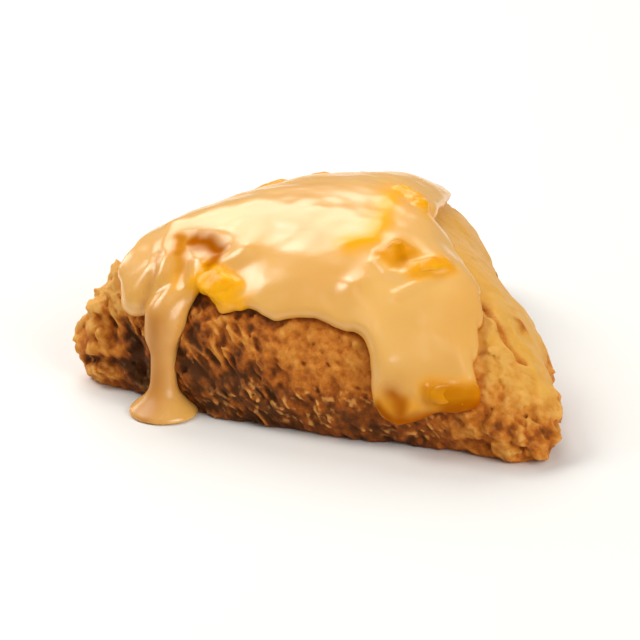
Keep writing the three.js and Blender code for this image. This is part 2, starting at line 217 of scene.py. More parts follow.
# Candied peel: place in plan, turn, size, bend radius, bed, whether it is curled in plan, how dark it is
Peel = namedtuple("Peel", "x y turn length width bend bed curled shade")
PEEL = (
    Peel(4.7, 2.5, -40, 9.5, 3, 8, 0.7, True, 0.1),
    Peel(14.6, -18, 70, 5.5, 4.6, 18, 0.6, False, 0.45),
    Peel(21.4, -18, 50, 7.5, 3.4, 18, 0.6, False, 0.25),
    Peel(34, -35, 12, 9.4, 3.4, 30, 1.3, False, 0.7),
    Peel(-15.6, -31.4, 155, 8, 5.4, 18, 0.9, False, 0.0),
    Peel(-18, 18, 140, 9, 4, 20, 0.6, False, 0.2),
    Peel(-10, 27, 75, 8, 4.4, 20, 0.6, False, 0.1),
    Peel(-24, 7, 20, 10, 4, 24, 0.6, False, 0.3),
)
PEEL_THICKNESS = 2.8
PEEL_ROUNDING = 0.9
PEEL_SHOWS, PEEL_FILLET = 0.3, 2.0  # how far it stands out of the glaze, and how softly the glaze meets it
PEEL_ROWS, PEEL_SIDES = 44, 28
PEEL_ACROSS, PEEL_THROUGH = 0.45, 0.5  # exponents of its section: 1 is an ellipse, 0 a box
END_POWER, END_ROUNDING, END_LEAST, END_WIDTH = 7, 0.42, 0.02, 0.3  # how its ends close
PEEL_SWAY, PEEL_SWAY_WIDTH = 0.4, 2.6
PEEL_SEED = 40
SHADE_SWAY, SHADE_WIDTH = 0.2, 2.0

# Stains that the peel leaves in the glaze: the line of each, its width and its strength
STAIN_SWAY = 0.7
SWAY_WIDTH = 2.5  # of stains and cracks
HALO_WIDTH, HALO_STRENGTH = 1.5, 0.95  # round each piece of peel
FEATHER_STAIN, FEATHER_STAIN_EDGE = 0.35, (1.6, 0.0)
PEEL_STAINS = (
    (CURL, 2.7, 1.0),
    (((12.5, 1.4, 30.9), (13.5, -0.5, 30.8)), 1.8, 0.9),
    (((32.2, -35.4, 11.6), (35.6, -34.7, 11.7), (39.0, -33.6, 12.1)), 1.9, 0.9),
    (((20.0, -37.3, 10.5), (23.1, -37.3, 9.2), (29.8, -36.5, 10.2), (33.4, -35.8, 10.8)), 1.6, 0.6),
    (((-17.4, -31.3, 23.7), (-13.2, -32.6, 22.9), (-9.5, -33.9, 21.5)), 2.4, 0.9),
    (GROOVE, 1.7, 0.6),
)

# Where the crust shows through the glaze, and painted shade down the column of the longest drip
BROWN_STAINS_AND_SHADE = (
    (PATCH, 2.2, 1.0),
    (PATCH_TAIL, 1.3, 0.9),
    (GROOVE[:2], 1.6, 0.7),
    (GROOVE[1:3], 1.5, 0.4),
    (BULB_SIDE, 0.9, 0.3),
    (((20.8, -37.5, 8.6), (22.5, -37.4, 7.5), (24.9, -37.2, 7.1), (28.6, -36.9, 7.4)), 1.9, 1.0),
    (((28.6, -36.9, 7.4), (32.4, -36.3, 8.5), (36.0, -35.6, 9.2), (38.7, -34.5, 10.2)), 1.7, 1.0),
    # Painted shade down the column of the longest drip
    (((-25.4, -34.8, 16.0), (-24.8, -35.8, 4.0)), 3.2, 0.6),
    (((32.2, -35.4, 11.2), (35.6, -34.7, 11.3), (39.0, -33.6, 11.6)), 1.6, 0.4),
    (((23.3, -36.8, 11.2), (24.9, -36.9, 9.8), (25.2, -37.1, 8.2)), 1.9, 0.9),
    (((14.6, -17.0, 29.8), (16.5, -19.5, 28.7)), 1.4, 0.5),
)

# Colours as a screen shows them
DARK_RIND = (196, 116, 2)
CRUST_RAMP = (
    (0.0, (252, 188, 94)), (0.2, (240, 160, 62)), (0.42, (216, 126, 34)),
    (0.62, (178, 92, 16)), (0.82, (130, 66, 8)), (1.0, (92, 48, 6)),
)
GLAZE_RAMP = ((0.35, (238, 184, 98)), (0.65, (230, 171, 82)))
PEEL_RAMP = ((0.3, (255, 186, 16)), (0.55, (253, 172, 4)), (0.8, (238, 146, 2)))

# Camera: the photograph's direction, with the scone filling the frame
CAMERA_AZIMUTH, CAMERA_ELEVATION = math.radians(24), math.radians(21.5)
CAMERA_DISTANCE = 700.0
CAMERA_TARGET = (0.0, 0.0, 20.0)
TARGET_RIGHT, TARGET_UP = 8.2, 10.2
LENS = 199.6

# Studio, in metres and watts
LIGHTS = {  # place, diameter, power
    "back": ((-0.42, 0.58, 0.71), 0.74, 4.6),
    "key": ((-0.5, -0.08, 0.6), 0.4, 2.9),
    "fill": ((0.74, -0.32, 0.48), 0.66, 5.0),
    "top": ((0.02, -0.2, 0.73), 0.35, 0.2),
    "spark": ((-0.42, 0.36, 0.83), 0.14, 0.3),
    "left": ((-0.84, 0.34, 0.32), 0.3, 0.9),
}
LIGHT_COLOUR = (1, 0.98, 0.93)
WORLD_COLOUR, WORLD_STRENGTH = (1, 0.98, 0.95, 1), 0.28
FLOOR_SIZE, FLOOR_LEVEL = 6, -0.00005
FLOOR_COLOUR = (0.86, 0.86, 0.85, 1)

# Voxels
PITCH = 0.38
GRID_LOW = (-58.0, -49.0, -1.3)
GRID_HIGH = (58.0, 58.0, 40.0)
DOUGH_BAND, GLAZE_BAND = (-4.5, 3.2), (-1.4, 6.5)  # distances from the smooth dough within which each ends
GLAZE_MARGIN, FOOT_MARGIN, FOOT_EMBED = 4.0, 2.0, 2.0
DOUGH_UNDER_GLAZE = 0.6  # the dough is smooth this far inside the edge of the glaze
JUST_INSIDE = 0.01
SMOOTHING = (0.5, -0.52)  # inwards, then outwards again
DOUGH_SMOOTHING, GLAZE_SMOOTHING = 1, 6  # rounds
DOUGH_HIDDEN, BASE_HIDDEN, GLAZE_HIDDEN = 2.0, 0.2, 0.1  # inside the glaze, above the floor, over the dough
DOUGH_KEPT, GLAZE_KEPT = 0.6, 0.6  # share of the triangles

# Noise: odd numbers that scatter its lattice, the bits of each pull and its height
SCATTER = (374761393, 668265263, 1440662683)
SCATTER_SEED = 974634777
STIR = 1274126177
PULL_BITS = 10
NOISE_HEIGHT = 1.5

# Waves that the noise of the solids is taken from
SOLID_WAVES = (127.1, 311.7, 74.7)
SOLID_STRETCH = 43758.5453


def hashed(i, j, k, seed):
    """A scattered number for each point of the lattice."""
    n = i * np.uint32(SCATTER[0]) + j * np.uint32(SCATTER[1]) + k * np.uint32(SCATTER[2])
    n = n + np.uint32(seed * SCATTER_SEED & 0xFFFFFFFF)
    n = (n ^ (n >> np.uint32(13))) * np.uint32(STIR)
    return n ^ (n >> np.uint32(16))


def corner_share(across, corner):
    """How much one corner of a cell of the lattice counts at points within the cell."""
    return math.prod(f if far else 1 - f for f, far in zip(across, corner))


def noise(p, seed):
    """Smooth noise, mostly within -0.7 to 0.7, with bumps a unit wide."""
    most = 2**PULL_BITS - 1
    cell = np.floor(p)
    x, y, z = (p - cell).astype(np.float32).T
    i, j, k = cell.astype(np.int32).astype(np.uint32).T
    across = [f * f * f * (f * (f * 6 - 15) + 10) for f in (x, y, z)]
    total = np.zeros(len(p), np.float32)
    for a, b, c in np.ndindex(2, 2, 2):
        n = hashed(i + np.uint32(a), j + np.uint32(b), k + np.uint32(c), seed)
        bits = [(n >> np.uint32(PULL_BITS * axis)) & np.uint32(most) for axis in range(3)]
        pulls = [part.astype(np.float32) - most / 2 for part in bits]
        pull = pulls[0] * (x - a) + pulls[1] * (y - b) + pulls[2] * (z - c)
        total += corner_share(across, (a, b, c)) * pull
    return total.astype(float) * (NOISE_HEIGHT / (most / 2))


def solid_noise(p):
    """The noise that shapes the crags of the solids."""
    cell = np.floor(p)
    across = [f * f * (3 - 2 * f) for f in (p - cell).T]
    i, j, k = cell.T
    total = np.zeros(len(p))
    for a, b, c in np.ndindex(2, 2, 2):
        wave = (i + a) * SOLID_WAVES[0] + (j + b) * SOLID_WAVES[1] + (k + c) * SOLID_WAVES[2]
        s = np.sin(wave) * SOLID_STRETCH
        total += corner_share(across, (a, b, c)) * ((s - np.floor(s)) * 2 - 1)
    return total


def waves(p, layers):
    return sum(height * noise(p / width, seed) for width, height, seed in layers)


def swayed(p, sway, width, seeds):
    """Points moved to and fro, so that what is drawn there wavers."""
    return p + sway * np.stack([noise(p / width, seed) for seed in seeds], axis=-1)


def smoothstep(x, low, high):
    t = np.clip((x - low) / (high - low), 0, 1)
    return t * t * (3 - 2 * t)


def smooth_max(a, b, width):
    h = np.maximum(0, width - np.abs(a - b)) / width
    return np.maximum(a, b) + h * h * width / 4


def smooth_min(a, b, width):
    return -smooth_max(-a, -b, width)


def line_distance(p, line):
    """Distance from a line of straight stretches."""
    nearest = np.full(len(p), np.inf)
    for a, b in zip(np.array(line), np.array(line)[1:]):
        along = np.clip((p - a) @ (b - a) / ((b - a) @ (b - a)), 0, 1)
        nearest = np.minimum(nearest, np.linalg.norm(p - a - along[:, None] * (b - a), axis=1))
    return nearest


def each_stroke(p, lines):
    return [most * np.exp(-((line_distance(p, line) / width) ** 2)) for line, width, most in lines]


def strokes(p, lines):
    return sum(each_stroke(p, lines))


def stains(p, lines):
    return np.max(each_stroke(swayed(p, STAIN_SWAY, SWAY_WIDTH, (5, 6, 7)), lines), axis=0)


def degrees_of(p):
    return np.degrees(np.arctan2(p[:, 1], p[:, 0])) % 360


def degrees_apart(a, b):
    return np.abs((a - b + 180) % 360 - 180)


def plan_radius(angle):
    """Distance from the heart to the rim of the wedge."""
    right = np.maximum(0, np.cos(angle - HALF_POINT)) / HEART_TO_SIDE
    left = np.maximum(0, -np.cos(angle + HALF_POINT)) / HEART_TO_SIDE
    ahead = ROUND_INSET * np.sin(angle)
    outer = 1 / (ahead + np.sqrt(ahead**2 - ROUND_INSET**2 + ROUND_RADIUS**2))
    total = right**CORNER_SHARPNESS + left**CORNER_SHARPNESS + outer**CORNER_SHARPNESS
    radius = 1 + sum(share * np.sin(count * angle + phase) for count, phase, share in SPREAD)
    for at, longer in UNLIKE_CORNERS:
        radius *= 1 + longer * np.exp(-((degrees_apart(np.degrees(angle), at) / CORNER_SPAN) ** 2))
    return radius * total ** (-1 / CORNER_SHARPNESS)


def boxiness(angle):
    return BOXINESS + SAG_MORE * np.exp(-((degrees_apart(np.degrees(angle), SAG_AT) / SAG_SPAN) ** 2))


RIM_ANGLES = np.linspace(-np.pi, np.pi, RIM_STEPS + 1)
RIM_RADII = plan_radius(RIM_ANGLES)
RIM_POWERS = 2 / boxiness(RIM_ANGLES)


def rim_lengths():
    radius = RIM_RADII * math.cos(RIM_RISE * math.pi / 2) ** boxiness(RIM_ANGLES)
    rim = radius[:, None] * np.stack([np.cos(RIM_ANGLES), np.sin(RIM_ANGLES)], axis=-1)
    return np.concatenate([[0], np.cumsum(np.linalg.norm(np.diff(rim, axis=0), axis=1))])


RIM_LENGTHS = rim_lengths()


def across_rim(angle, at):
    """Distance along the rim from one direction."""
    middle = np.interp((math.radians(at) + np.pi) % (2 * np.pi) - np.pi, RIM_ANGLES, RIM_LENGTHS)
    apart = np.abs(np.interp(angle, RIM_ANGLES, RIM_LENGTHS) - middle)
    return np.minimum(apart, RIM_LENGTHS[-1] - apart)


def dome_height(x, y):
    off = np.hypot(x - CROWN[0], y - CROWN[1]) / DROP_REACH
    return np.maximum(LOWEST_DOME, HEIGHT - CORNER_DROP * off**DROP_POWER)


def swelling(p):
    """0 on the smooth dough, below 0 inside it and growing evenly outwards."""
    z = np.maximum(p[:, 2], 0)
    tuck = 1 - TUCK * np.maximum(0, 1 - z / TUCK_HEIGHT) ** 2
    x, y = p[:, 0] / tuck, p[:, 1] / tuck
    angle = np.arctan2(y, x)
    reach = np.hypot(x, y) / np.interp(angle, RIM_ANGLES, RIM_RADII)
    rise = z / dome_height(x, y)
    power = np.interp(angle, RIM_ANGLES, RIM_POWERS)
    return (reach**power + rise**power) ** (1 / power) - 1


def dough_distance(p):
    """Distance from the smooth dough and the way out of it."""
    step = 0.2
    slope = np.stack([swelling(p + e) - swelling(p - e) for e in np.eye(3) * step], axis=-1) / (2 * step)
    size = np.maximum(1e-6, np.linalg.norm(slope, axis=-1))
    return swelling(p) / size, slope / size[:, None]


def dough_top(x, y):
    """The point of the smooth dough over a place in plan."""
    angle = math.atan2(y, x)
    reach = math.hypot(x, y) / plan_radius(angle)
    power = 2 / boxiness(angle)
    return np.array((x, y, dome_height(x, y) * (1 - reach**power) ** (1 / power)))


def glaze_reach(s, normal):
    """How far points of the smooth dough lie inside the even edge of the glaze."""
    angle, z = np.arctan2(s[:, 1], s[:, 0]), s[:, 2]
    at, level = np.array(GLAZE_LINE).T
    i = np.clip(np.searchsorted(at, degrees_of(s), side="right") - 1, 0, len(at) - 2)
    line = level[i] + (level[i + 1] - level[i]) * smoothstep(degrees_of(s), at[i], at[i + 1])
    inside = (z - line) / np.maximum(LEAST_STEEPNESS, np.hypot(normal[:, 0], normal[:, 1]))
    for at, foot, radius in DRIPS:
        below = np.maximum(0, foot + radius - z)
        inside = smooth_max(inside, radius - np.hypot(across_rim(angle, at), below), FILLET)
    return inside


def glaze_inside(s, normal):
    """How far points of the smooth dough lie inside the wavy edge of the glaze."""
    return glaze_reach(s, normal) + waves(s, EDGE_WAVES)


def feather(s):
    """1 along the edge of the glaze that thins out towards the sagged flank, and 0 elsewhere."""
    side = smoothstep(degrees_apart(degrees_of(s), FEATHER_AT), *FEATHER_SPAN)
    return side * smoothstep(s[:, 2], *FEATHER_LEVELS)


def glaze_depth(s):
    angle, z = np.arctan2(s[:, 1], s[:, 0]), s[:, 2]
    swell = np.zeros(len(s))
    for at, foot, radius in DRIPS:
        across, above = across_rim(angle, at) / radius, (z - foot - radius) / (2 * radius)
        swell += np.exp(-2 * (across**2 + above**2))
    swell = np.sqrt(swell) * smoothstep(np.hypot(s[:, 0], s[:, 1]), *SWELL_FADE)
    depth = GLAZE + DRIP_SWELL * swell + waves(s, SHEET_WAVES) + strokes(s, GLAZE_STROKES)
    return np.maximum(THINNEST_GLAZE, depth * (1 - FEATHER * feather(s)))


def foot_field(p):
    """The column of the longest drip and the foot that it stands in."""
    x, y, z = p.T
    across = np.hypot(x - FOOT_CENTRE[0] - FOOT_LEAN[0] * z, y - FOOT_CENTRE[1] - FOOT_LEAN[1] * z)
    low = np.minimum(z, BULGE_HEIGHT)
    radius = WAIST_RADIUS + (FOOT_RADIUS - WAIST_RADIUS) * np.exp(-((low / FOOT_HEIGHT) ** 2))
    radius += (BULGE_RADIUS - WAIST_RADIUS) * np.exp(-(((low - BULGE_HEIGHT) / BULGE_REACH) ** 2))
    radius -= FOOT_DRAWN_IN * np.exp(-np.maximum(z, 0) / FOOT_RIM_HEIGHT)
    return (np.hypot(across, np.maximum(0, z - BULGE_HEIGHT)) - radius) * FOOT_SLOPE


def peel_matrix(piece):
    """From the axes of a piece of peel to those of the form."""
    top = dough_top(piece.x, piece.y)
    normal = Vector(dough_distance(top[None])[1][0])
    upright = Vector((0, 0, 1)).rotation_difference(normal).to_matrix().to_4x4()
    turned = Matrix.Rotation(math.radians(piece.turn), 4, "Z")
    return Matrix.Translation(Vector(top) + normal * piece.bed) @ upright @ turned


def peel_distance(p, piece):
    """Distance from one piece of peel."""
    inverse = np.array(peel_matrix(piece).inverted())
    q = p @ inverse[:3, :3].T + inverse[:3, 3]
    middle = piece.bend + PEEL_THICKNESS / 2
    if piece.curled:
        sideways, outwards, over = q[:, 0], q[:, 1] + piece.bend / 2, q[:, 2] - piece.width / 2
    else:
        sideways, outwards, over = q[:, 0], q[:, 2] + piece.bend, q[:, 1]
    along = np.arctan2(sideways, outwards) * middle
    through = np.hypot(sideways, outwards) - middle
    half = np.array((piece.length / 2 * middle / piece.bend, PEEL_THICKNESS / 2, piece.width / 2))
    box = np.abs(np.stack([along, through, over], axis=-1)) - half + PEEL_ROUNDING
    return np.linalg.norm(np.maximum(box, 0), axis=-1) + np.minimum(box.max(axis=-1), 0) - PEEL_ROUNDING


def glaze_field(p, h, normal):
    s = p - h[:, None] * normal
    depth = glaze_depth(s)
    half = (depth + EMBED) / 2
    sheet = np.hypot(np.maximum(0, half - glaze_inside(s, normal)), h - (depth - EMBED) / 2) - half
    field = smooth_min(sheet, foot_field(p), FOOT_BLEND)
    for piece in PEEL:
        field = smooth_min(field, peel_distance(p, piece) + PEEL_SHOWS, PEEL_FILLET)
    return np.maximum(field, FLOOR_GAP - p[:, 2])


def slanted(p, width, length):
    """Coordinates stretched along the flakes, which slant down the wall."""
    x, y, z = p.T
    return np.stack([(x + z) / width, y / width, (x - z) / length], axis=-1)


def film_cover(s):
    """How much of a thin film of glaze lies on the bare slope beside the sheet, 0 to 1."""
    side = degrees_apart(degrees_of(s), FILM_AT) + waves(s, FILM_SPAN_WAVES)
    level = s[:, 2] + waves(s, FILM_LEVEL_WAVES)
    return smoothstep(side, *FILM_SPAN) * smoothstep(level, *FILM_LEVELS)


def flakes(p):
    """1 along the crests of the flakes, which are strongest on the left of the wall, and 0 between them."""
    x = p[:, 0]
    crest = smoothstep(np.abs(noise(slanted(p, FLAKE_WIDTH, FLAKE_LENGTH), 11)), *FLAKE_CREST)
    patch = smoothstep(noise(slanted(p, FLAKE_PATCH_WIDTH, FLAKE_PATCH_LENGTH), 25), *FLAKE_PATCH)
    left = smoothstep(x, *FLAKES_FROM_RIGHT) * smoothstep(x, *FLAKES_FROM_LEFT)
    patch = FLAKES_BETWEEN + (1 - FLAKES_BETWEEN) * patch
    return crest * patch * (FLAKES_ELSEWHERE + (1 - FLAKES_ELSEWHERE) * left)


def crumbs(p):
    """1 on the crumbs that cling in patches to the lower wall."""
    x, z = p[:, 0], p[:, 2]
    patch = smoothstep(noise(p / CRUMB_PATCH_WIDTH, 18), *CRUMB_PATCH) * smoothstep(z, *CRUMBS_FROM_BASE)
    low = smoothstep(z + CRUMBS_LOWER * smoothstep(x, *CRUMBS_LOWER_AT), *CRUMBS_FROM_TOP)
    return patch * low * smoothstep(noise(slanted(p, CRUMB_WIDTH, CRUMB_LENGTH), 12), *CRUMB_RIM)


def knobs(p):
    """The lumpy ends."""
    ends = np.max([smoothstep(p[:, 0], *end) for end in KNOB_ENDS], axis=0)
    lumps = noise(p / KNOB_WIDTH, 19) + SMALL_KNOB_SHARE * noise(p / SMALL_KNOB_WIDTH, 20)
    return lumps * ends * smoothstep(p[:, 2], *KNOBS_FROM_BASE)


def pits(p):
    return smoothstep(noise(slanted(p, PIT_WIDTH, PIT_LENGTH), 14), *PIT_RIM)


def bumps(p):
    return noise(p / BUMP_WIDTH, 26)


def grain(p):
    return noise(slanted(p, GRAIN_WIDTH, GRAIN_LENGTH), 13)


def cracks(s):
    return strokes(swayed(s, CRACK_SWAY, SWAY_WIDTH, (15, 16, 17)), CRACKS)


def relief(p, s, inside):
    """How far the bare crust stands out from the smooth dough."""
    cleft = 1 - np.hypot(solid_noise(slanted(p, CRAG_WIDTH, CRAG_LENGTH)), CREST_ROUNDING)
    broad = LUMP_DEPTH * solid_noise(p / LUMP_WIDTH) + CRAG_DEPTH * (cleft**2 - CRAG_LEVEL)
    fine = FLAKE_DEPTH * flakes(p) + CRUMB_DEPTH * crumbs(p) + KNOB_DEPTH * knobs(p) - PIT_DEPTH * pits(p)
    fine += BUMP_DEPTH * bumps(p) + GRAIN_DEPTH * grain(p)
    film = film_cover(p)
    fine = fine * (1 - FILM_FILLS_FINE * film) - cracks(s)
    bare = smoothstep(-inside, 0, CRAG_FADE) * (1 - FILM_FILLS_BROAD * film)
    return bare * broad + smoothstep(-inside, *FINE_RELIEF) * fine + FILM * film


def dough_field(p, h, normal):
    s = p - h[:, None] * normal
    inside = glaze_inside(s, normal)
    out = np.zeros(len(p))
    bare = inside < DOUGH_UNDER_GLAZE
    out[bare] = relief(p[bare], s[bare], inside[bare])
    return smooth_max(h - out, -p[:, 2], BASE_ROUNDING)


def voxels():
    """Every voxel's place, its distance from the smooth dough and the way out of it."""
    axes = [np.arange(a, b, PITCH) for a, b in zip(GRID_LOW, GRID_HIGH)]
    points = np.stack(np.meshgrid(*axes, indexing="ij"), axis=-1)
    value = swelling(points.reshape(-1, 3)).reshape(points.shape[:3])
    slope = np.stack(np.gradient(value, PITCH), axis=-1)
    size = np.maximum(1e-6, np.linalg.norm(slope, axis=-1))
    return points, value / size, slope / size[..., None]


EDGES = [(a, b) for a in np.ndindex(2, 2, 2) for b in np.ndindex(2, 2, 2)
         if sum(b) - sum(a) == 1 and all(q >= p for p, q in zip(a, b))]


def shifted(values, step, shape):
    """The part of a grid that has a shape and starts at a step."""
    return values[tuple(slice(o, o + k) for o, k in zip(step, shape))]


def untangled(values):
    """Fills the voxels at which two sheets of the surface would meet along an edge."""
    values = values.copy()
    tangled = True
    while tangled:
        tangled = False
        for axis in range(3):
            steps = np.zeros((4, 3), int)
            steps[[1, 2], (axis + 1) % 3] = 1
            steps[[2, 3], (axis + 2) % 3] = 1
            shape = np.array(values.shape) - steps.max(axis=0)
            a, b, c, d = (shifted(values, step, shape) < 0 for step in steps)
            crossed = np.argwhere((a == c) & (b == d) & (a != b))
            corners = crossed[:, None] + steps
            level = values[tuple(np.moveaxis(corners, -1, 0))]
            nearest = np.where(level < 0, np.inf, level).argmin(axis=1)
            values[tuple(corners[np.arange(len(crossed)), nearest].T)] = -JUST_INSIDE
            tangled |= len(crossed) > 0
    return values


def net_points(values, cells):
    """A vertex in each cell, in the middle of the places where the zero level crosses its edges."""
    total = np.zeros((len(cells), 3))
    count = np.zeros(len(cells))
    for a, b in EDGES:
        va, vb = values[tuple((cells + a).T)], values[tuple((cells + b).T)]
        crossed = (va < 0) != (vb < 0)
        t = va[crossed] / (va[crossed] - vb[crossed])
        total[crossed] += np.array(a) + t[:, None] * (np.array(b) - a)
        count[crossed] += 1
    return np.array(GRID_LOW) + PITCH * (cells + total / count[:, None])


def net_quads(inside, number):
    """A quad round each edge of the grid that the zero level crosses, facing outwards."""
    quads = []
    for axis in range(3):
        u, v = (axis + 1) % 3, (axis + 2) % 3
        lower = [slice(1, -1)] * 3
        upper = [slice(1, -1)] * 3
        lower[axis], upper[axis] = slice(0, -1), slice(1, None)
        crossed = np.argwhere(inside[tuple(lower)] != inside[tuple(upper)])
        crossed[:, [u, v]] += 1
        ring = []
        for du, dv in ((-1, -1), (0, -1), (0, 0), (-1, 0)):
            cell = crossed.copy()
            cell[:, u] += du
            cell[:, v] += dv
            ring.append(number[tuple(cell.T)])
        ring = np.stack(ring, axis=-1)
        quads.append(np.where(inside[tuple(crossed.T)][:, None], ring, ring[:, ::-1]))
    return np.concatenate(quads)


def surface_net(values):
    """A quad mesh of the zero level, with one vertex in each cell that the level passes."""
    values = untangled(values)
    inside = values < 0
    shape = np.array(values.shape) - 1
    corners = [shifted(inside, corner, shape) for corner in np.ndindex(2, 2, 2)]
    cells = np.argwhere(np.logical_or.reduce(corners) & ~np.logical_and.reduce(corners))
    number = np.full(shape, -1, np.int64)
    number[tuple(cells.T)] = np.arange(len(cells))
    return net_points(values, cells), net_quads(inside, number)


def largest_piece(points, quads):
    """Drops the specks that hang free of the form."""
    label = np.arange(len(points))
    while True:
        lower = label.copy()
        np.minimum.at(lower, quads.ravel(), np.repeat(label[quads].min(axis=1), 4))
        lower = lower[lower]
        if (lower == label).all():
            break
        label = lower
    kept = label == np.bincount(label).argmax()
    number = np.cumsum(kept) - 1
    return points[kept], number[quads[kept[quads[:, 0]]]]


def smoothed(points, quads, rounds):
    """Evens out the steps of the voxels without shrinking the form."""
    edges = np.concatenate([quads[:, [i, (i + 1) % 4]] for i in range(4)])
    count = np.bincount(edges[:, 0], minlength=len(points))[:, None]
    for weight in SMOOTHING * rounds:
        near = [np.bincount(edges[:, 0], points[edges[:, 1], k], len(points)) for k in range(3)]
        points = points + weight * (np.stack(near, axis=-1) / count - points)
    return points


def heart():
    """The hub of the dough's flat base, from which the form is measured."""
    base = [v.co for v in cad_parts["dough"].data.vertices if v.co.z < 1e-6]
    middle = sum(base, Vector()) / len(base)
    return min(base, key=lambda co: (co - middle).length).copy()


HEART = heart()


def mesh_object(name, points, faces):
    mesh = bpy.data.meshes.new(name)
    mesh.vertices.add(len(points))
    mesh.vertices.foreach_set("co", (points * MM + np.array(HEART)).astype(np.float32).ravel())
    mesh.loops.add(faces.size)
    mesh.loops.foreach_set("vertex_index", faces.astype(np.int32).ravel())
    mesh.polygons.add(len(faces))
    mesh.polygons.foreach_set("loop_start", np.arange(0, faces.size, faces.shape[1], dtype=np.int32))
    mesh.update(calc_edges=True)
    mesh.shade_smooth()
    obj = bpy.data.objects.new(name, mesh)
    bpy.context.scene.collection.objects.link(obj)
    return obj


def form_points(obj):
    co = np.zeros(len(obj.data.vertices) * 3, np.float32)
    obj.data.vertices.foreach_get("co", co)
    return (co.reshape(-1, 3).astype(float) - np.array(HEART)) / MM


def form_places(obj):
    """Each vertex, its distance from the smooth dough, the way out and the point of the dough below it."""
    p = form_points(obj)
    h, normal = dough_distance(p)
    return p, h, normal, p - h[:, None] * normal


def thin_out(obj, hidden, ratio):
    """Takes vertices away where nothing is seen."""
    group = obj.vertex_groups.new(name="hidden")
    group.add(np.flatnonzero(hidden).tolist(), 1.0, "REPLACE")
    modifier = obj.modifiers.new("thin", "DECIMATE")
    modifier.ratio = ratio
    modifier.vertex_group = group.name
    modifier.vertex_group_factor = 10
    mesh = bpy.data.meshes.new_from_object(obj.evaluated_get(bpy.context.evaluated_depsgraph_get()))
    obj.modifiers.clear()
    obj.vertex_groups.clear()
    old, obj.data = obj.data, mesh
    bpy.data.meshes.remove(old)
    mesh.name = obj.name


def paint(obj, name, values):
    attribute = obj.data.attributes.new(name, "FLOAT", "POINT")
    attribute.data.foreach_set("value", np.asarray(values, np.float32))


class Finish:
    """A material and the nodes that feed its surface."""

    def __init__(self, name):
        self.material = bpy.data.materials.new(name)
        self.material.use_nodes = True
        self.nodes = self.material.node_tree.nodes
        self.links = self.material.node_tree.links
        self.surface = self.nodes["Principled BSDF"]

    def feed(self, socket, value):
        if isinstance(value, bpy.types.NodeSocket):
            self.links.new(value, socket)
        else:
            socket.default_value = value

    def set(self, values):
        for name, value in values.items():
            self.feed(self.surface.inputs[name], value)

    def attribute(self, name):
        node = self.nodes.new("ShaderNodeAttribute")
        node.attribute_name = name
        return node.outputs["Fac"]

    def noise(self, size, detail=3.0, roughness=0.55):
        """Noise from 0 to 1 with bumps of a size in millimetres."""
        place = self.nodes.new("ShaderNodeTexCoord")
        node = self.nodes.new("ShaderNodeTexNoise")
        self.links.new(place.outputs["Object"], node.inputs["Vector"])
        for name, value in (("Scale", 1 / (size * MM)), ("Detail", detail), ("Roughness", roughness)):
            node.inputs[name].default_value = value
        return node.outputs["Fac"]

    def sum(self, value, factor, other):
        """value * factor + other, kept within 0 to 1."""
        node = self.nodes.new("ShaderNodeMath")
        node.operation = "MULTIPLY_ADD"
        node.use_clamp = True
        for socket, given in zip(node.inputs, (value, factor, other)):
            self.feed(socket, given)
        return node.outputs["Value"]

    def ramp(self, factor, stops):
        node = self.nodes.new("ShaderNodeValToRGB")
        elements = node.color_ramp.elements
        for place, _ in stops[2:]:
            elements.new(place)
        for element, (place, colour) in zip(elements, stops):
            element.position = place
            element.color = srgb(*colour)
        self.links.new(factor, node.inputs["Fac"])
        return node.outputs["Color"]

    def mix(self, factor, a, b):
        node = self.nodes.new("ShaderNodeMix")
        node.data_type = "RGBA"
        for name, value in (("Factor_Float", factor), ("A_Color", a), ("B_Color", b)):
            self.feed(next(s for s in node.inputs if s.identifier == name), value)
        return next(s for s in node.outputs if s.identifier == "Result_Color")

    def bump(self, height, strength, depth):
        node = self.nodes.new("ShaderNodeBump")
        node.inputs["Strength"].default_value = strength
        node.inputs["Distance"].default_value = depth * MM
        self.links.new(height, node.inputs["Height"])
        self.links.new(node.outputs["Normal"], self.surface.inputs["Normal"])


def srgb(r, g, b):
    """A colour as a screen shows it, each part 0 to 255."""
    return (*(((c / 255 + 0.055) / 1.055) ** 2.4 if c > 10 else c / 3294.6 for c in (r, g, b)), 1.0)


def crust_finish():
    finish = Finish("crust")
    fine = finish.sum(finish.noise(1.0, 4, 0.7), 0.5, 0.0)
    mottling = finish.sum(finish.noise(1.6, 5, 0.7), 0.5, fine)
    # This attribute holds browning together with painted light and shade on the crust's relief, in its
    # cracks and under the glaze's lip
    colour = finish.ramp(finish.sum(mottling, 1.0, finish.attribute("toast_and_shade")), CRUST_RAMP)
    colour = finish.mix(finish.attribute("pale"), colour, srgb(246, 192, 108))
    film = finish.attribute("film")
    finish.set({
        "Base Color": finish.mix(film, colour, srgb(255, 188, 70)),
        "Roughness": finish.sum(film, -0.45, 0.74),
        "Specular IOR Level": 0.3,
        "Subsurface Weight": 0.06,
        "Subsurface Radius": (1.0, 0.5, 0.2),
        "Subsurface Scale": 1.0 * MM,
    })
    finish.bump(finish.noise(0.8, 5, 0.8), 1.0, 0.6)
    return finish.material


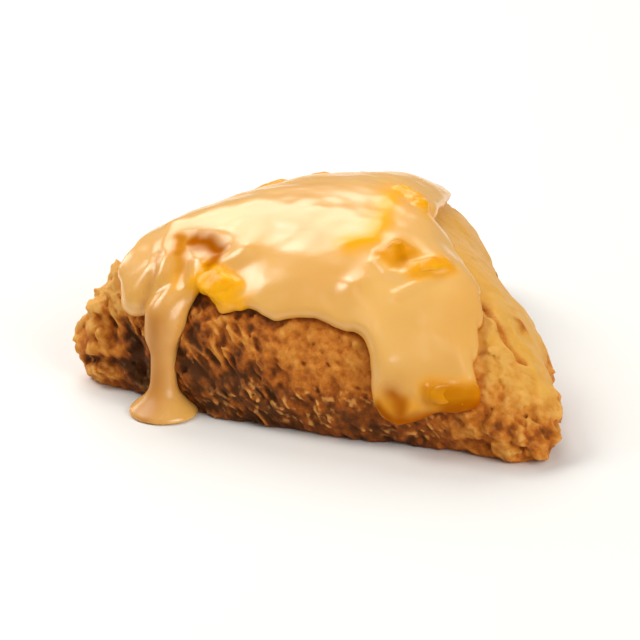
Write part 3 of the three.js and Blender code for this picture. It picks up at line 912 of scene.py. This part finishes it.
def glaze_finish():
    finish = Finish("glaze")
    cream = finish.ramp(finish.noise(18, 2), GLAZE_RAMP)
    peel_stain = finish.attribute("peel_stain")
    rind = finish.mix(finish.attribute("shade"), srgb(255, 176, 0), srgb(*DARK_RIND))
    # Crust showing through thin glaze, and painted shade on the drip's column, turn the glaze brown and dull
    brown_stain_and_shade = finish.attribute("brown_stain_and_shade")
    finish.set({
        "Base Color": finish.mix(brown_stain_and_shade, finish.mix(peel_stain, cream, rind), srgb(174, 88, 2)),
        "Roughness": finish.sum(brown_stain_and_shade, 0.3, 0.23),
        "Specular IOR Level": finish.sum(brown_stain_and_shade, -0.95, finish.sum(peel_stain, -0.65, 0.85)),
        "Subsurface Weight": 0.25,
        "Subsurface Radius": (1.0, 0.55, 0.22),
        "Subsurface Scale": 2 * MM,
    })
    finish.bump(finish.noise(2.4, 2), 0.08, 0.3)
    return finish.material


def peel_finish():
    finish = Finish("peel")
    rind = finish.ramp(finish.noise(2.6, 3), PEEL_RAMP)
    finish.set({
        "Base Color": finish.mix(finish.attribute("shade"), rind, srgb(*DARK_RIND)),
        "Roughness": 0.28,
        "Specular IOR Level": 0.25,
        "Subsurface Weight": 0.2,
        "Subsurface Radius": (1.0, 0.5, 0.12),
        "Subsurface Scale": 2 * MM,
    })
    finish.bump(finish.noise(1.4, 2), 0.2, 0.3)
    return finish.material


def place_piece(obj, material, node):
    obj.data.materials.clear()
    obj.data.materials.append(material)
    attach(obj, "root")
    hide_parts(node)


def paint_crust(obj):
    """How dark the crust is painted, from browning and from painted light and shade on its relief, in its
    cracks and under the glaze's lip; how pale its crumbs and flake crests are; and how much glaze films it.
    """
    p, h, normal, s = form_places(obj)
    x, z = p[:, 0], p[:, 2]
    nose, end = smoothstep(x, *NOSE), smoothstep(x, *LEFT_END)
    left = smoothstep(x, *LEFT_WALL_FROM_RIGHT) * smoothstep(x, *LEFT_WALL_FROM_LEFT)
    rough = LEAST_RELIEF_SHADING + (1 - LEAST_RELIEF_SHADING) * np.max([left, end, NOSE_RELIEF_SHADING * nose], axis=0)
    cracked, burnt_and_shaded, flaky = cracks(s), strokes(s, BURNT_AND_SHADED), flakes(p)
    crumbly = crumbs(p) * (1 - FEWER_NOSE_CRUMBS * nose)
    shares = {
        "all over": np.ones(len(p)),
        "low wall": smoothstep(z, *LOW_WALL),
        "left wall": left,
        "nose": nose,
        "left end": end,
        "patches": noise(p / BROWN_PATCH_WIDTH, 21),
        # Bumps and grain are painted paler where they stand out and darker in their dips: painted light and
        # shade
        "bumps": rough * bumps(p),
        "grain": rough * grain(p),
        # Painted shade where the crust lies below the smooth dough, painted light where it stands out
        "hollows": np.clip(-h / HOLLOW_SHADE_DEPTH, -1, 1),
        "pits": pits(p),
        # Burns, and painted shade right of the drip's column and in the cleft beside it
        "burns and shade": burnt_and_shaded,
        # Painted shade in the cracks
        "cracks": np.minimum(1, cracked) * (1 - FAINTER_END_CRACK_SHADE * np.maximum(nose, end)),
        # A dark line under the glaze's lip: painted shadow, and partly glaze seeping into the crust
        "lip shadow and seep": smoothstep(glaze_inside(s, normal), *GLAZE_SEAM),
        # Flake crests painted paler: partly paler flakes, partly painted highlight
        "flakes": flaky,
        "crumbs": crumbly,
    }
    paint(obj, "toast_and_shade", sum(CRUST_DARKENING[name] * share for name, share in shares.items()))
    # Pale crumbs, and flake crests painted pale partly as painted highlight
    paint(obj, "pale", np.minimum(1, PALE_CRUMBS * crumbly + PALE_FLAKES_AND_HIGHLIGHT * flaky**PALE_FLAKE_POWER))
    bare = np.minimum(1, cracked + BURNS_AND_SHADE_THROUGH_FILM * burnt_and_shaded)
    paint(obj, "film", FILM_STRENGTH * film_cover(p) * (1 - bare))


def make_dough(grid, material):
    points, h, normal = grid
    values = np.maximum(h, -points[..., 2])
    near = (h > DOUGH_BAND[0]) & (h < DOUGH_BAND[1])
    values[near] = dough_field(points[near], h[near], normal[near])
    net, quads = largest_piece(*surface_net(values))
    obj = mesh_object("dough_crust", smoothed(net, quads, DOUGH_SMOOTHING), quads)
    p, _, normal, s = form_places(obj)
    hidden = (glaze_inside(s, normal) > DOUGH_HIDDEN) | (p[:, 2] < BASE_HIDDEN)
    thin_out(obj, hidden, DOUGH_KEPT)
    paint_crust(obj)
    place_piece(obj, material, "dough")


def paint_glaze(obj):
    """Where the peel and the crust colour the glaze, and where shade is painted on the column of the longest
    drip.
    """
    p, _, normal, s = form_places(obj)
    apart = np.stack([peel_distance(p, piece) for piece in PEEL])
    halo = np.exp(-((np.maximum(apart, 0) / HALO_WIDTH) ** 2))
    edge = feather(s) * smoothstep(glaze_inside(s, normal), *FEATHER_STAIN_EDGE)
    peel_stain = [HALO_STRENGTH * halo.max(axis=0), stains(s, PEEL_STAINS), FEATHER_STAIN * edge]
    shades = np.array([piece.shade for piece in PEEL])
    paint(obj, "peel_stain", np.max(peel_stain, axis=0))
    paint(obj, "shade", np.max(halo * shades[:, None], axis=0))
    paint(obj, "brown_stain_and_shade", stains(s, BROWN_STAINS_AND_SHADE))


def make_glaze(grid, material):
    points, h, normal = grid
    values = np.ones(h.shape)
    near = (h > GLAZE_BAND[0]) & (h < GLAZE_BAND[1]) & (points[..., 2] > -PITCH)
    near[near] = glaze_reach(points[near] - h[near, None] * normal[near], normal[near]) > -GLAZE_MARGIN
    near |= (foot_field(points.reshape(-1, 3)).reshape(h.shape) < FOOT_MARGIN) & (h > -FOOT_EMBED)
    values[near] = glaze_field(points[near], h[near], normal[near])
    net, quads = largest_piece(*surface_net(values))
    obj = mesh_object("glaze_coat", smoothed(net, quads, GLAZE_SMOOTHING), quads)
    thin_out(obj, dough_distance(form_points(obj))[0] < GLAZE_HIDDEN, GLAZE_KEPT)
    paint_glaze(obj)
    place_piece(obj, material, "glaze")


def rounded(wave, power):
    """A sine or cosine made boxier."""
    return np.sign(wave) * np.abs(wave) ** power


def peel_points(piece, seeds):
    """Rings of points along a bent strip with rounded edges and ends, a little uneven."""
    i, j = np.meshgrid(np.arange(PEEL_ROWS + 1), np.arange(PEEL_SIDES), indexing="ij")
    end = i / PEEL_ROWS * 2 - 1
    round_it = 2 * np.pi * j / PEEL_SIDES
    shrink = np.maximum(END_LEAST, 1 - np.abs(end) ** END_POWER) ** END_ROUNDING
    over = piece.width / 2 * rounded(np.cos(round_it), PEEL_ACROSS) * (END_WIDTH + (1 - END_WIDTH) * shrink)
    through = PEEL_THICKNESS / 2 * rounded(np.sin(round_it), PEEL_THROUGH) * shrink
    out = piece.bend + PEEL_THICKNESS / 2 + through
    along = end * piece.length / 2 / piece.bend
    sideways, outwards = out * np.sin(along), out * np.cos(along)
    if piece.curled:
        points = np.stack([sideways, outwards - piece.bend / 2, over + piece.width / 2], axis=-1)
    else:
        points = np.stack([sideways, -over, outwards - piece.bend], axis=-1)
    matrix = np.array(peel_matrix(piece))
    points = points.reshape(-1, 3) @ matrix[:3, :3].T + matrix[:3, 3]
    return swayed(points, PEEL_SWAY, PEEL_SWAY_WIDTH, seeds)


def peel_mesh(name, piece, seeds):
    points = peel_points(piece, seeds)
    ends = np.stack([points[:PEEL_SIDES].mean(axis=0), points[-PEEL_SIDES:].mean(axis=0)])
    first, last = np.full(PEEL_SIDES, len(points)), np.full(PEEL_SIDES, len(points) + 1)
    number = np.arange(len(points)).reshape(PEEL_ROWS + 1, PEEL_SIDES)
    turned = np.roll(number, -1, axis=1)
    quads = np.stack([number[:-1], number[1:], turned[1:], turned[:-1]], axis=-1).reshape(-1, 4)
    rims = (first, number[0], turned[0]), (last, turned[-1], number[-1])
    caps = [np.stack(rim, axis=-1) for rim in rims]
    triangles = np.concatenate([quads[:, [0, 1, 2]], quads[:, [0, 2, 3]], *caps])
    return mesh_object(name, np.concatenate([points, ends]), triangles)


def make_peel(material):
    for i, piece in enumerate(PEEL, 1):
        seed = PEEL_SEED + 3 * i
        obj = peel_mesh(f"peel_piece_{i}", piece, range(seed, seed + 3))
        shade = piece.shade + SHADE_SWAY * noise(form_points(obj) / SHADE_WIDTH, 27)
        paint(obj, "shade", np.clip(shade, 0, 1))
        place_piece(obj, material, f"peel_{i}")


def area_light(name, place, size, power):
    light = bpy.data.lights.new(name, "AREA")
    light.shape = "DISK"
    light.size = size
    light.energy = power
    light.color = LIGHT_COLOUR
    obj = bpy.data.objects.new(name, light)
    obj.location = place
    obj.rotation_euler = (-Vector(place)).to_track_quat("-Z", "Y").to_euler()
    bpy.context.scene.collection.objects.link(obj)


def make_stage():
    bpy.ops.mesh.primitive_plane_add(size=FLOOR_SIZE, location=(0, 0, FLOOR_LEVEL))
    floor = bpy.context.object
    floor.name = "floor"
    finish = Finish("floor")
    finish.set({"Base Color": FLOOR_COLOUR, "Roughness": 0.6})
    floor.data.materials.append(finish.material)
    scene = bpy.context.scene
    scene.world = bpy.data.worlds.new("studio")
    scene.world.use_nodes = True
    background = scene.world.node_tree.nodes["Background"].inputs
    background["Color"].default_value = WORLD_COLOUR
    background["Strength"].default_value = WORLD_STRENGTH
    scene.view_settings.view_transform = "Standard"
    for name, (place, size, power) in LIGHTS.items():
        area_light(name, place, size, power)


def make_camera():
    az, el = CAMERA_AZIMUTH, CAMERA_ELEVATION
    back = Vector((math.sin(az) * math.cos(el), -math.cos(az) * math.cos(el), math.sin(el)))
    right = Vector((math.cos(az), math.sin(az), 0))
    up = back.cross(right)
    centre = Vector(CAMERA_TARGET) - TARGET_RIGHT * right - TARGET_UP * up
    camera = bpy.data.cameras.new("camera")
    camera.lens = LENS
    obj = bpy.data.objects.new("camera", camera)
    turned = Matrix((right, up, back)).transposed().to_4x4()
    obj.matrix_world = Matrix.Translation((centre + CAMERA_DISTANCE * back) * MM + HEART) @ turned
    bpy.context.scene.collection.objects.link(obj)
    bpy.context.scene.camera = obj


make_camera()
make_stage()
grid = voxels()
make_dough(grid, crust_finish())
make_glaze(grid, glaze_finish())
make_peel(peel_finish())
